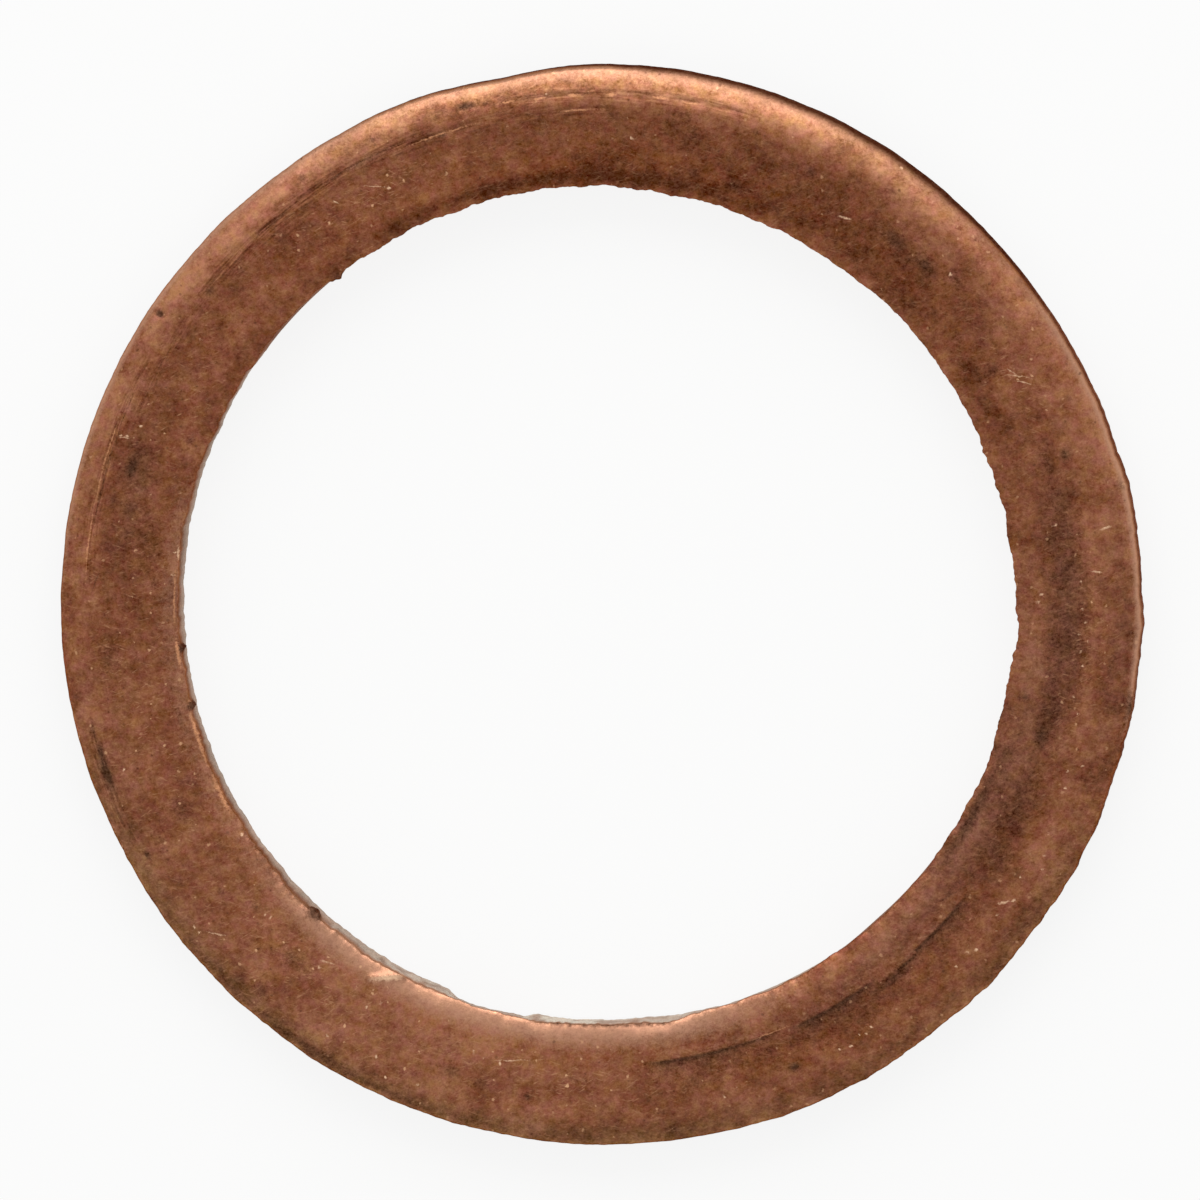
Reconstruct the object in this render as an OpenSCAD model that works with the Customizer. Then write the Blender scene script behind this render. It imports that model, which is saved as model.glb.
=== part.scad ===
// Copper crush washer: a flat sealing ring, stamped in one piece from soft copper strip.
// The ring lies flat on its lower seat. The origin is on the bore axis at that seat, with +Z up.

/* [Ring] */
// Outside diameter of the ring
outer_d = 26; // [23.8:0.1:60]
// Diameter of the bore, a clear fit on a 20 mm thread
bore_d = 20.2; // [6:0.1:22.4]
// Thickness from seat to seat
thickness = 1.5; // [0.9:0.05:4]

/* [Edges] */
// Width of the rolled outer edge, where the blanking die drew the upper face down
outer_roll_w = 1.05; // [0.5:0.05:1.6]
// Depth of the rolled outer edge
outer_roll_h = 0.32; // [0.1:0.02:0.7]
// Width of the rounded upper edge of the bore
bore_roll_w = 0.65; // [0.3:0.05:1.1]
// Depth of the rounded upper edge of the bore
bore_roll_h = 0.12; // [0.04:0.02:0.3]
// Radius of the two lower edges, eased by tumbling
lower_round = 0.12; // [0.05:0.01:0.4]

/* [Seat marks] */
// Depth of each mark at its middle
mark_depth = 0.03; // [0.01:0.005:0.08]
// Radius of the worn corner that pressed the marks
mark_corner_r = 0.3; // [0.1:0.05:0.6]
// Distance from the bore wall to the long mark
long_mark_gap = 1.05; // [0.6:0.05:1.6]
// Direction of the long mark's middle, in degrees from +X
long_mark_at = 299; // [0:1:359]
// Half the angle that the long mark spans
long_mark_half = 23; // [10:1:60]
// Distance from the outer wall to the first score
score_gap = 0.85; // [0.8:0.05:1.4]
// Spacing of the scores, counted inwards
score_pitch = 0.15; // [0.1:0.01:0.4]
// Number of scores
score_count = 3; // [1:1:4]
// Direction of the first score's middle, in degrees from +X
score_at = 142; // [0:1:359]
// Angle from one score's middle to the next
score_turn = 16; // [0:1:40]
// Half the angle that each score spans
score_half = 24; // [10:1:60]

/* [Hidden] */
$fn = 96;

outer_r = outer_d / 2;
bore_r = bore_d / 2;
// Length by which a cut runs clear of the metal
past = 1;

// Radius of an arc that leaves a face tangentially and drops by depth over width.
function roll_radius(width, depth) = (width * width + depth * depth) / (2 * depth);

// What a rolled edge leaves out of a square corner at the origin, with the metal at -X and -Y.
module roll_cut(width, depth) {
    arc_r = roll_radius(width, depth);
    translate([-width, 0]) difference() {
        translate([0, -depth]) square([width + past, depth + past]);
        translate([0, -arc_r]) circle(arc_r);
    }
}

// Section of the ring, with the radius along X and the height along Y.
module ring_section() {
    difference() {
        translate([bore_r, 0]) square([outer_r - bore_r, thickness]);
        translate([outer_r, thickness]) roll_cut(outer_roll_w, outer_roll_h);
        translate([bore_r, thickness]) mirror([1, 0]) roll_cut(bore_roll_w, bore_roll_h);
        translate([outer_r, 0]) mirror([0, 1]) roll_cut(lower_round, lower_round);
        translate([bore_r, 0]) rotate(180) roll_cut(lower_round, lower_round);
    }
}

// Groove that a worn corner pressed into the upper face, deepest in its middle and fading out at both ends.
// The corner runs round in a circle of radius r, tipped down towards the mark's direction.
module seat_mark(r, direction, half_angle) {
    tip = atan(mark_depth / (r * (1 - cos(half_angle))));
    rotate(direction)
        translate([r, 0, thickness - mark_depth])
            rotate([0, tip, 0])
                translate([-r, 0, mark_corner_r])
                    rotate_extrude() translate([r, 0]) circle(mark_corner_r);
}

module copper_washer() {
    color("#8c5841") difference() {
        rotate_extrude() ring_section();
        seat_mark(bore_r + long_mark_gap, long_mark_at, long_mark_half);
        for (i = [0 : score_count - 1])
            seat_mark(outer_r - score_gap - i * score_pitch, score_at - i * score_turn, score_half);
    }
}

copper_washer();
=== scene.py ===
# %% [markdown]
# # A worn copper crush washer
# The washer is a flat ring of soft copper, stamped from strip, that seals the seat under a screwed plug.
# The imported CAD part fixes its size. This lesson models the same ring again with enough points to carry
# real wear, and gives it the brown, patchy skin that old copper has.

# %% Load the frame
import math

import bmesh
import bpy
import numpy as np
from mathutils import Matrix, Vector, noise


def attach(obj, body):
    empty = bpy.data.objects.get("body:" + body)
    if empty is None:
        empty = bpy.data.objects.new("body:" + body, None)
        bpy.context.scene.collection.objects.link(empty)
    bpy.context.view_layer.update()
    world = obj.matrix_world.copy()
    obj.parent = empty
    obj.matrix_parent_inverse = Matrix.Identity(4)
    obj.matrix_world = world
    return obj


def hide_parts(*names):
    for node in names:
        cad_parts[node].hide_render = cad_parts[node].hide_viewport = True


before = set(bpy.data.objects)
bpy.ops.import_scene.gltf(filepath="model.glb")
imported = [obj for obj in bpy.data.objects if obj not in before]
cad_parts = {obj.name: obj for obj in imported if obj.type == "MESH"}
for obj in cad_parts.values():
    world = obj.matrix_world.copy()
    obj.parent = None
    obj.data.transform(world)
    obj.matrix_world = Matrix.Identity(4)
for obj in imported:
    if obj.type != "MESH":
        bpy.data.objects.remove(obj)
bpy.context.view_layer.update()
MM = 0.001

# %% [markdown]
# ## Measure the ring
# Typing the sizes a second time would let the two models drift apart. So the section's corners are read
# from the CAD ring itself: the flat of the upper face ends where the rolled edges begin, and each wall
# ends where its own edge begins.

# %% Read the section's corners from the CAD ring
node_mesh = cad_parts["copper_washer"].data
node_points = np.empty(len(node_mesh.vertices) * 3, dtype=np.float32)
node_mesh.vertices.foreach_get("co", node_points)
node_points = node_points.reshape(-1, 3).astype(float) / MM
node_radius = np.hypot(node_points[:, 0], node_points[:, 1])
node_height = node_points[:, 2]
CLOSE = 0.0005

outer_r = node_radius.max()
bore_r = node_radius.min()
top = node_height.max()
on_top = node_radius[node_height > top - CLOSE]
on_seat = node_radius[node_height < CLOSE]
on_wall = node_height[node_radius > outer_r - CLOSE]
on_bore = node_height[node_radius < bore_r + CLOSE]
flat_in, flat_out = on_top.min(), on_top.max()
seat_in, seat_out = on_seat.min(), on_seat.max()
wall_low, wall_high = on_wall.min(), on_wall.max()
bore_low, bore_high = on_bore.min(), on_bore.max()
print(f"outer radius {outer_r:.3f}, bore radius {bore_r:.3f}, thickness {top:.3f}")
print(f"upper flat {flat_in:.3f} to {flat_out:.3f}, lower flat {seat_in:.3f} to {seat_out:.3f}")
print(f"outer wall {wall_low:.3f} to {wall_high:.3f}, bore wall {bore_low:.3f} to {bore_high:.3f}")

# %% [markdown]
# ## Set up the camera
# The ring is seen almost straight down. The outer wall shows as a thin strip at the upper right and the
# bore wall at the lower left, so the camera leans a little towards the upper right. Both strips stay even
# along the ring, which means a long lens from far off.

# %% Aim the camera
PHOTO_SIDE_PX = 1200
RING_RADIUS_PX = 541.0
RING_CENTRE_PX = (601.5, 605.3)
LEAN = math.radians(7.5)
LEAN_TOWARDS = math.radians(45)
LENS_MM = 500

mm_per_px = outer_r / RING_RADIUS_PX
frame_width = PHOTO_SIDE_PX * mm_per_px
camera_data = bpy.data.cameras.new("camera")
camera_data.lens = LENS_MM
camera_data.clip_start = 10 * MM
camera = bpy.data.objects.new("camera", camera_data)
bpy.context.scene.collection.objects.link(camera)
bpy.context.scene.camera = camera

half_side = PHOTO_SIDE_PX / 2
aim = Vector((
    (half_side - RING_CENTRE_PX[0]) * mm_per_px,
    (RING_CENTRE_PX[1] - half_side) * mm_per_px,
    (wall_low + wall_high) / 2))
distance = frame_width * LENS_MM / camera_data.sensor_width
away = Vector((
    math.sin(LEAN) * math.cos(LEAN_TOWARDS),
    math.sin(LEAN) * math.sin(LEAN_TOWARDS),
    math.cos(LEAN)))
right = Vector((0, 1, 0)).cross(away).normalized()
up = away.cross(right)
camera.location = (aim + away * distance) * MM
camera.rotation_mode = "QUATERNION"
camera.rotation_quaternion = Matrix((right, up, away)).transposed().to_quaternion()
print(f"camera {distance:.0f} mm away, frame {frame_width:.2f} mm wide")

# %% [markdown]
# ## Draw the section
# The ring is a section turned about an axis. The section is drawn the way a pen would draw it, by spinning
# one vertex: with a step and no angle for each straight side, and about a centre for each round edge.
# A plain bevel would give quarter circles, but the stamping die draws the copper down in a long shallow
# curve that meets the wall at an angle.

# %% Two strokes of the pen
bm = bmesh.new()


def draw_line(pen, radius, height, pieces):
    """Moves the pen in equal pieces to a radius and a height in the section's plane."""
    step = (Vector((radius, 0, height)) * MM - pen.co) / pieces
    spun = bmesh.ops.spin(
        bm, geom=[pen], cent=(0, 0, 0), axis=(0, 1, 0), angle=0, dvec=step, steps=pieces)
    return next(item for item in spun["geom_last"] if isinstance(item, bmesh.types.BMVert))


def draw_arc(pen, centre_radius, centre_height, turn, pieces):
    """Turns the pen clockwise about a centre in the section's plane, by an angle in radians."""
    centre = Vector((centre_radius, 0, centre_height)) * MM
    spun = bmesh.ops.spin(bm, geom=[pen], cent=centre, axis=(0, 1, 0), angle=turn, steps=pieces)
    return next(item for item in spun["geom_last"] if isinstance(item, bmesh.types.BMVert))


def roll_radius(width, depth):
    """Radius of an arc that leaves a face tangentially and drops by depth over width."""
    return (width ** 2 + depth ** 2) / (2 * depth)


# %% [markdown]
# Each upper corner is worn round, the outer one most. A corner's arc touches the wall and touches the roll
# from inside, so its centre lies one corner radius from the wall, and the roll's radius less the corner's
# radius from the roll's centre.

# %% Draw round the section
def corner_fit(roll_width, roll_r, corner_r):
    """Height of a corner's centre below the face, and the angle that the roll turns up to the corner."""
    across = roll_width - corner_r
    return roll_r - math.sqrt((roll_r - corner_r) ** 2 - across ** 2), math.asin(across / (roll_r - corner_r))


OUTER_CORNER_R, BORE_CORNER_R = 0.20, 0.06
outer_roll_w, bore_roll_w = outer_r - flat_out, flat_in - bore_r
outer_roll_r = roll_radius(outer_roll_w, top - wall_high)
bore_roll_r = roll_radius(bore_roll_w, top - bore_high)
outer_drop, outer_turn = corner_fit(outer_roll_w, outer_roll_r, OUTER_CORNER_R)
bore_drop, bore_turn = corner_fit(bore_roll_w, bore_roll_r, BORE_CORNER_R)
QUARTER = math.pi / 2

start = bm.verts.new(Vector((flat_in, 0, top)) * MM)
pen = draw_line(start, flat_out, top, pieces=17)
pen = draw_arc(pen, flat_out, top - outer_roll_r, outer_turn, pieces=13)
pen = draw_arc(pen, outer_r - OUTER_CORNER_R, top - outer_drop, QUARTER - outer_turn, pieces=7)
pen = draw_line(pen, outer_r, wall_low, pieces=3)
pen = draw_arc(pen, seat_out, wall_low, QUARTER, pieces=2)
pen = draw_line(pen, seat_in, 0, pieces=2)
pen = draw_arc(pen, seat_in, bore_low, QUARTER, pieces=2)
pen = draw_line(pen, bore_r, top - bore_drop, pieces=4)
pen = draw_arc(pen, bore_r + BORE_CORNER_R, top - bore_drop, QUARTER - bore_turn, pieces=3)
pen = draw_arc(pen, flat_in, top - bore_roll_r, bore_turn, pieces=9)

MERGE_GAP = 0.0001 * MM
bmesh.ops.remove_doubles(bm, verts=bm.verts[:], dist=MERGE_GAP)
print("section:", len(bm.verts), "points,", len(bm.edges), "edges")

# %% [markdown]
# One spin of 1536 steps would take over a minute, because each step looks through everything made so far.
# So a narrow slice is spun first, and a second spin with use_duplicate copies it round. Merging doubles
# then closes the seams between the slices.

# %% Turn the section into a ring
SLICES, STEPS_IN_SLICE = 32, 48
slice_turn = 2 * math.pi / SLICES
bmesh.ops.spin(
    bm, geom=bm.verts[:] + bm.edges[:], cent=(0, 0, 0), axis=(0, 0, 1),
    angle=slice_turn, steps=STEPS_IN_SLICE)
bmesh.ops.spin(
    bm, geom=bm.verts[:] + bm.edges[:] + bm.faces[:], cent=(0, 0, 0), axis=(0, 0, 1),
    angle=2 * math.pi - slice_turn, steps=SLICES - 1, use_duplicate=True)
bmesh.ops.remove_doubles(bm, verts=bm.verts[:], dist=MERGE_GAP)
bmesh.ops.recalc_face_normals(bm, faces=bm.faces[:])
ring_mesh = bpy.data.meshes.new("copper_ring")
bm.to_mesh(ring_mesh)
bm.free()
copper_ring = bpy.data.objects.new("copper_ring", ring_mesh)
bpy.context.scene.collection.objects.link(copper_ring)
print("ring:", len(ring_mesh.vertices), "points,", len(ring_mesh.polygons), "faces")

# %% [markdown]
# ## Describe where the wear is
# Every mark on the ring is given as a clock angle and a radius. The clock angle runs clockwise from +X,
# as seen from above, which is how one reads a round thing in a picture. Two arrays hold these for every
# point of the ring, so that a mark is one line of arithmetic over the whole mesh. The marks were read from
# a view that leans, so one function undoes the lean: it finds where on the upper face a seen mark lies.

# %% The ring's points in polar form
points = np.empty(len(ring_mesh.vertices) * 3, dtype=np.float32)
ring_mesh.vertices.foreach_get("co", points)
points = points.reshape(-1, 3).astype(float) / MM
radius = np.hypot(points[:, 0], points[:, 1])
clock = np.degrees(np.arctan2(-points[:, 1], points[:, 0])) % 360
height = points[:, 2].copy()
outward = points[:, :2] / radius[:, None]
middle_r = (outer_r + bore_r) / 2


def on_face(angle, at_radius):
    """Clock angle and radius on the upper face of a mark that is seen at an angle and a radius."""
    rise = top - aim.z
    seen_x = at_radius * math.cos(math.radians(angle))
    seen_y = -at_radius * math.sin(math.radians(angle))
    x = (seen_x - right.z * rise) / right.x
    y = (seen_y - up.x * x - up.z * rise) / up.y
    return math.degrees(math.atan2(-y, x)) % 360, math.hypot(x, y)


def ease(value, low, high):
    """A smooth step from 0 at low to 1 at high."""
    share = np.clip((value - low) / (high - low), 0, 1)
    return share * share * (3 - 2 * share)


def clock_from(angle):
    """Degrees that each point lies past a clock angle, from -180 to 180."""
    return (clock - angle + 180) % 360 - 180


def cloud(size, seed, octaves=4):
    """Noise over the ring, about -1 to 1, with patches of the given size in mm."""
    shift = Vector((seed * 7.3, seed * 3.1, seed * 5.7))
    return np.array([noise.fractal(Vector(p) / size + shift, 1.0, 2.0, octaves) for p in points])


def waver(size, seed):
    """Noise that changes only along the ring, about -1 to 1, with waves of the given size in mm."""
    stops = np.arange(0, 361, 0.1)
    reach = middle_r / size
    values = [
        noise.noise((math.cos(turn) * reach, math.sin(turn) * reach, seed * 3.7))
        for turn in np.radians(stops)]
    return np.interp(clock, stops, values)


def ragged(size, seed, octaves):
    """Rough noise along the ring: waves of the given size in mm, and ever finer ones of less height."""
    return sum(waver(size / 2 ** i, seed + i) * 0.75 ** i for i in range(octaves))


def dab(angle, at_radius, along, across):
    """A soft spot: 1 at a seen angle and radius, fading over a length along the ring and one across it."""
    angle, at_radius = on_face(angle, at_radius)
    on_arc = np.radians(clock_from(angle)) * at_radius
    return np.exp(-(on_arc / along) ** 2 - ((radius - at_radius) / across) ** 2)


def arc_window(angle_a, angle_b, fade):
    """1 between two clock angles, fading to 0 over an angle inside each end."""
    past = clock_from(angle_a) % 360
    span = (angle_b - angle_a) % 360
    return ease(past, 0, fade) * (1 - ease(past, span - fade, span)) * (past < span)


upper_side = ease(height, wall_high - 0.25, wall_high)
near_bore = (1 - ease(radius, bore_r, bore_r + 0.35)) * ease(height, 0.3, 1.0)
near_rim = ease(radius, outer_r - 0.3, outer_r)
print("points on the upper side:", int((upper_side > 0.5).sum()))

# %% [markdown]
# ## Press the marks in
# A bump texture would only pretend that the surface is worn, and the outline would stay perfect.
# So the larger marks move the points: lift is the change of height and push the change of radius, in mm.
# The face first gets a slow swell and small dents, because soft copper is never quite flat.

# %% Swell, dents and ragged edges
SWELL_LIFT, SWELL_SIZE = 0.008, 3.0
DENT_LIFT, DENT_SIZE = 0.0035, 0.8
BORE_TEAR, BORE_TEAR_SIZE = 0.046, 1.5
WALL_TEAR, WALL_TEAR_SIZE, WALL_SKIN = 0.030, 0.7, 0.13
BURR_LIFT, BURR_SIZE = 0.016, 0.8
RIM_NICK_SIZE = 1.6
lift = (SWELL_LIFT * cloud(SWELL_SIZE, 1) + DENT_LIFT * cloud(DENT_SIZE, 11)) * upper_side
torn = 1.0 + 0.4 * arc_window(200, 300, 25) + 0.6 * arc_window(325, 395, 20)
push = BORE_TEAR * ragged(BORE_TEAR_SIZE, 20, 5) * torn * near_bore
in_wall = (radius < bore_r + WALL_SKIN) * (height < bore_high)
push += WALL_TEAR * ragged(WALL_TEAR_SIZE, 25, 4) * arc_window(60, 225, 20) * in_wall
nicked = 0.016 + 0.034 * arc_window(322, 440, 25) + 0.014 * arc_window(80, 165, 20)
push += nicked * ragged(RIM_NICK_SIZE, 30, 5) * near_rim
lift += BURR_LIFT * ragged(BURR_SIZE, 40, 3) * near_bore

# %% [markdown]
# The punch that cut the bore stood a little off centre, and the outer edge has been knocked flat in places.
# The punch tore the last of the copper, so the bore wall is undercut on two stretches.

# %% Off-centre bore, and flats on the outer edge: angle, length, how far they go in
BORE_SHIFT, BORE_SHIFT_TOWARDS = 0.065, 195
FLATS = [
    (232, 4.0, 0.055), (258.5, 1.4, 0.105), (319, 4.0, 0.095), (331, 1.6, 0.030),
    (17, 2.0, 0.035), (342, 0.6, 0.030), (172, 4.0, -0.040),
]
by_bore = 1 - ease(radius, bore_r, bore_r + 0.9)
by_rim = ease(radius, outer_r - 1.0, outer_r)
push += BORE_SHIFT * np.cos(np.radians(clock_from(BORE_SHIFT_TOWARDS))) * by_bore
for angle, along, depth in FLATS:
    on_arc = np.radians(clock_from(angle)) * outer_r
    push -= depth * np.exp(-(on_arc / along) ** 2) * by_rim
under_edge = (radius < bore_r + WALL_SKIN) * ease(bore_high - height, 0.0, 0.3)
push += (0.12 * arc_window(99, 112, 2) + 0.05 * arc_window(48, 84, 8)) * under_edge

# %% [markdown]
# On the lower right an earlier seat has folded the copper over itself. The inner side stands proud with a
# thin lip, and the outer side drops away sharply and then climbs back.

# %% Follow a curved line round the face
def follow(angle_a, angle_b, radius_a, radius_b, fade, wander):
    """A window along a line between two seen places, and how far outside the line each point lies."""
    angle_a, radius_a = on_face(angle_a, radius_a)
    angle_b, radius_b = on_face(angle_b, radius_b)
    window = arc_window(angle_a, angle_b, fade) * upper_side
    share = np.clip((clock_from(angle_a) % 360) / (angle_b - angle_a), 0, 1)
    return window, radius - (radius_a + (radius_b - radius_a) * share + wander)


# %% Laps: start angle, end angle, start radius, end radius
LAPS = [(37, 54, 11.13, 11.23), (52, 67.5, 11.06, 11.13), (66, 86, 11.01, 11.06)]
LAP_LIP, LAP_LIP_WIDTH, LAP_DROP = 0.014, 0.35, 0.045
LAP_SPREAD, LAP_SPREAD_CHANGE, LAP_WANDER, LAP_FADE = 0.32, 0.18, 0.03, 4
# lap_shade is where painted shade lies beside the step, and lap_lip where a painted highlight runs along the
# lip.
lap_shade = np.zeros(len(points))
lap_lip = np.zeros(len(points))
for lap in LAPS:
    window, past_edge = follow(*lap, LAP_FADE, LAP_WANDER * waver(0.8, 7))
    spread = LAP_SPREAD + LAP_SPREAD_CHANGE * waver(1.3, 9)
    lip = window * np.exp(-(past_edge / LAP_LIP_WIDTH) ** 2) * (past_edge <= 0)
    drop = window * np.exp(-np.maximum(past_edge, 0) / spread) * (past_edge > 0)
    lift += LAP_LIP * lip - LAP_DROP * drop
    lap_shade = np.maximum(lap_shade, drop)
    lap_lip = np.maximum(lap_lip, lip)

# %% [markdown]
# On the upper left the edge of a seat has turned against the face and left scores that follow the ring.
# Each is a fine groove that breaks off and starts again, with the copper that it threw up beside it.

# %% Scores: start angle, end angle, start radius, end radius, depth
SCORES = [
    (150, 169, 12.62, 12.63, 0.020),
    (180, 212, 12.38, 12.37, 0.020),
    (198, 222, 12.04, 12.04, 0.014),
    (215, 252, 12.11, 12.05, 0.026),
    (220, 240, 11.86, 11.82, 0.012),
    (240, 264, 11.95, 11.90, 0.016),
    (255, 290, 12.24, 12.21, 0.020),
    (254, 276, 11.86, 11.85, 0.014),
]
SCORE_FADE, SCORE_WANDER, SCORE_WIDTH, SCORE_LIP_OUT = 7, 0.02, 0.06, 0.10
LIP_SHARE, GROOVE_SHARE, STREAKED_WIDTH, DEEPEST_SCORE = 0.30, 0.75, 0.18, 0.026
scored = np.zeros(len(points))
for *line, depth in SCORES:
    window, past_edge = follow(*line, SCORE_FADE, SCORE_WANDER * waver(0.9, 8))
    seed = 9 * on_face(line[0], line[2])[1]
    broken = ease(waver(0.7, seed), -0.35, 0.25)
    groove = window * broken * np.exp(-(past_edge / SCORE_WIDTH) ** 2)
    lip = window * broken * np.exp(-((past_edge - SCORE_LIP_OUT) / SCORE_WIDTH) ** 2)
    lift += LIP_SHARE * depth * lip - GROOVE_SHARE * depth * groove
    streaked = window * np.exp(-(past_edge / STREAKED_WIDTH) ** 2)
    scored = np.maximum(scored, streaked * depth / DEEPEST_SCORE)

# %% [markdown]
# ## Dents and crumbs
# A gouge goes down and is filled with dirt. A crumb of dirt or a burr stands out of the bore's edge,
# and in one place a chip of copper is pushed up into a short ridge.

# %% Gouges: angle, radius, length, width, depth
GOUGES = [
    (161.6, 12.58, 0.50, 0.13, 0.05),
    (151.2, 12.48, 0.12, 0.06, 0.03),
    (213.3, 12.72, 0.07, 0.08, 0.04),
    (67.2, 12.02, 0.12, 0.10, 0.02),
    (254.8, 12.40, 0.20, 0.07, 0.02),
]
gouge_dirt = np.zeros(len(points))
for angle, at_radius, along, across, depth in GOUGES:
    spot = dab(angle, at_radius, along, across) * upper_side
    lift -= depth * spot
    gouge_dirt = np.maximum(gouge_dirt, spot)

# %% A chip beside the bore: a short raised ridge from one angle and radius to another
CHIP_FROM, CHIP_TO, CHIP_WIDTH, CHIP_LIFT = (118.0, 10.08), (121.8, 10.54), 0.08, 0.036
ends = []
for end in (CHIP_FROM, CHIP_TO):
    angle, at_radius = on_face(*end)
    ends.append(at_radius * np.array([math.cos(math.radians(angle)), -math.sin(math.radians(angle))]))
chip_line = ends[1] - ends[0]
from_end = points[:, :2] - ends[0]
share = np.clip(from_end @ chip_line / (chip_line @ chip_line), 0, 1)
from_chip = np.hypot(*(from_end - share[:, None] * chip_line).T)
lift += CHIP_LIFT * np.exp(-(from_chip / CHIP_WIDTH) ** 2) * upper_side

# %% Crumbs and burrs on the bore's edge: angle, length, how far they stand out, dirt
CRUMBS = [
    (133.0, 0.20, 0.12, 1.6),
    (166.2, 0.10, 0.08, 1.6),
    (174.2, 0.09, 0.10, 1.6),
    (231.2, 0.19, 0.11, 0.6),
    (274.5, 0.10, 0.03, 0.3),
    (338.4, 0.26, 0.12, 0.0),
]
CRUMB_WIDTH = 0.16
crumb_dirt = np.zeros(len(points))
crumb_rough = 1 + 0.7 * cloud(0.10, 9, 2)
for angle, along, stand_out, dirtiness in CRUMBS:
    spot = dab(angle, bore_r, along, CRUMB_WIDTH) * ease(height, 0.6, 1.15)
    push -= stand_out * spot * crumb_rough
    crumb_dirt = np.maximum(crumb_dirt, spot * dirtiness)

# %% Move the points
moved = points.copy()
moved[:, :2] += outward * push[:, None]
moved[:, 2] += lift
ring_mesh.vertices.foreach_set("co", (moved * MM).astype(np.float32).ravel())
ring_mesh.shade_smooth()
ring_mesh.update()
print(f"lift {lift.min():.3f} to {lift.max():.3f} mm, push {push.min():.3f} to {push.max():.3f} mm")

# %% [markdown]
# ## Paint the dirt, the painted light and the broad tones
# The colour of the skin is made by nodes later. Where stains and rubbed places lie is a fact of this one
# ring, so it is painted on the points as attributes, which the nodes read. Some of the paint is painted
# light:
# shade beside the lap's step and on the outer wall, highlights along the rubbed edges, a reflection on the
# bore wall, and lighter and darker parts of the face. Stains are soft spots here, and the nodes will break
# their edges up.

# %% Stains and painted shade: angle, radius, length along the ring, width across it, strength
STAINS_AND_SHADE = [
    # Most of these are stains. The three along the lap at 52, 59 and 75 degrees are painted shade beside the
    # lap's step, and the long one beside the bore at 30 degrees is painted shade along the bore's edge.
    (3, 11.24, 1.30, 0.55, 0.40), (14, 11.12, 1.10, 0.44, 0.30), (16.4, 10.99, 0.30, 0.22, 0.80),
    (12.2, 10.43, 0.10, 0.08, 0.80), (25, 11.10, 1.00, 0.34, 0.45), (32, 11.22, 0.45, 0.38, 0.50),
    (11, 12.86, 0.30, 0.08, 0.80), (30, 10.28, 1.50, 0.14, 0.85), (21, 10.40, 0.40, 0.20, 0.45),
    (39.5, 10.85, 0.45, 0.08, 0.35),
    (52, 11.36, 0.80, 0.15, 0.80), (59, 11.24, 0.70, 0.12, 0.75), (75, 11.18, 1.40, 0.15, 0.50),
    (58, 11.60, 2.20, 0.35, 0.35), (78, 11.60, 0.80, 0.30, 0.30), (67.4, 12.01, 0.14, 0.12, 1.00),
    (66.7, 11.47, 0.06, 0.06, 0.80), (69.3, 11.47, 0.06, 0.06, 0.80),
    (93, 11.42, 0.30, 0.12, 0.40), (98.6, 11.96, 0.12, 0.09, 0.80), (104.5, 11.90, 0.32, 0.15, 0.35),
    (108, 11.78, 0.26, 0.16, 0.50), (131.5, 12.38, 0.20, 0.18, 0.50), (131, 11.30, 0.50, 0.25, 0.45),
    (139, 11.06, 0.16, 0.16, 0.40), (143, 11.46, 0.11, 0.09, 0.50), (154, 11.25, 0.35, 0.25, 0.50),
    (157, 10.82, 0.12, 0.20, 0.40), (152, 12.02, 0.40, 0.20, 0.30), (165, 10.46, 0.30, 0.07, 0.50),
    (118, 12.82, 3.60, 0.12, 0.45), (174, 11.90, 0.50, 0.30, 0.35),
    (183, 10.74, 0.20, 0.12, 0.45), (188, 11.10, 0.80, 0.40, 0.32), (188.5, 11.50, 0.16, 0.20, 0.50),
    (191.5, 11.52, 0.25, 0.20, 0.50), (192.5, 12.00, 0.20, 0.08, 0.50), (195, 11.45, 1.00, 0.35, 0.35),
    (196.4, 11.75, 0.34, 0.16, 1.00), (202, 10.60, 0.22, 0.11, 0.50), (234.9, 12.55, 0.10, 0.13, 0.65),
    (242, 12.06, 0.90, 0.07, 0.60), (251.3, 11.89, 0.12, 0.09, 0.85), (254.7, 12.41, 0.26, 0.10, 1.00),
    (256.9, 12.38, 0.12, 0.07, 0.60), (243.7, 12.43, 0.07, 0.07, 0.70), (218.8, 12.05, 0.14, 0.08, 0.70),
    (262.6, 11.39, 0.20, 0.08, 0.50), (267, 10.74, 0.25, 0.10, 0.50), (272.4, 10.67, 0.20, 0.10, 0.45),
    (288.1, 11.88, 0.12, 0.08, 0.50), (280.7, 11.56, 0.15, 0.10, 0.40),
    (279.5, 11.90, 0.30, 0.12, 0.40), (282, 10.56, 0.20, 0.16, 0.50), (287.5, 10.50, 0.22, 0.16, 0.60),
    (295.8, 11.50, 0.16, 0.14, 0.65), (305, 12.10, 0.25, 0.11, 0.40), (309, 11.20, 0.50, 0.22, 0.70),
    (313.5, 11.22, 0.38, 0.22, 0.75), (317.5, 11.50, 0.40, 0.12, 0.50), (329, 10.92, 0.18, 0.20, 0.55),
    (336, 12.20, 0.15, 0.15, 0.35), (342, 11.65, 0.16, 0.13, 0.85), (342.5, 11.20, 0.38, 0.13, 0.55),
    (213.3, 12.72, 0.10, 0.10, 1.30), (161.2, 12.58, 0.42, 0.12, 1.20), (163.6, 12.56, 0.26, 0.10, 0.90),
    (166.0, 12.60, 0.30, 0.07, 0.60),
    (347, 12.70, 0.15, 0.12, 0.45), (349.5, 11.25, 0.70, 0.38, 0.40), (357, 11.22, 0.80, 0.54, 0.38),
]
stain_and_shade = np.zeros(len(points))
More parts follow.
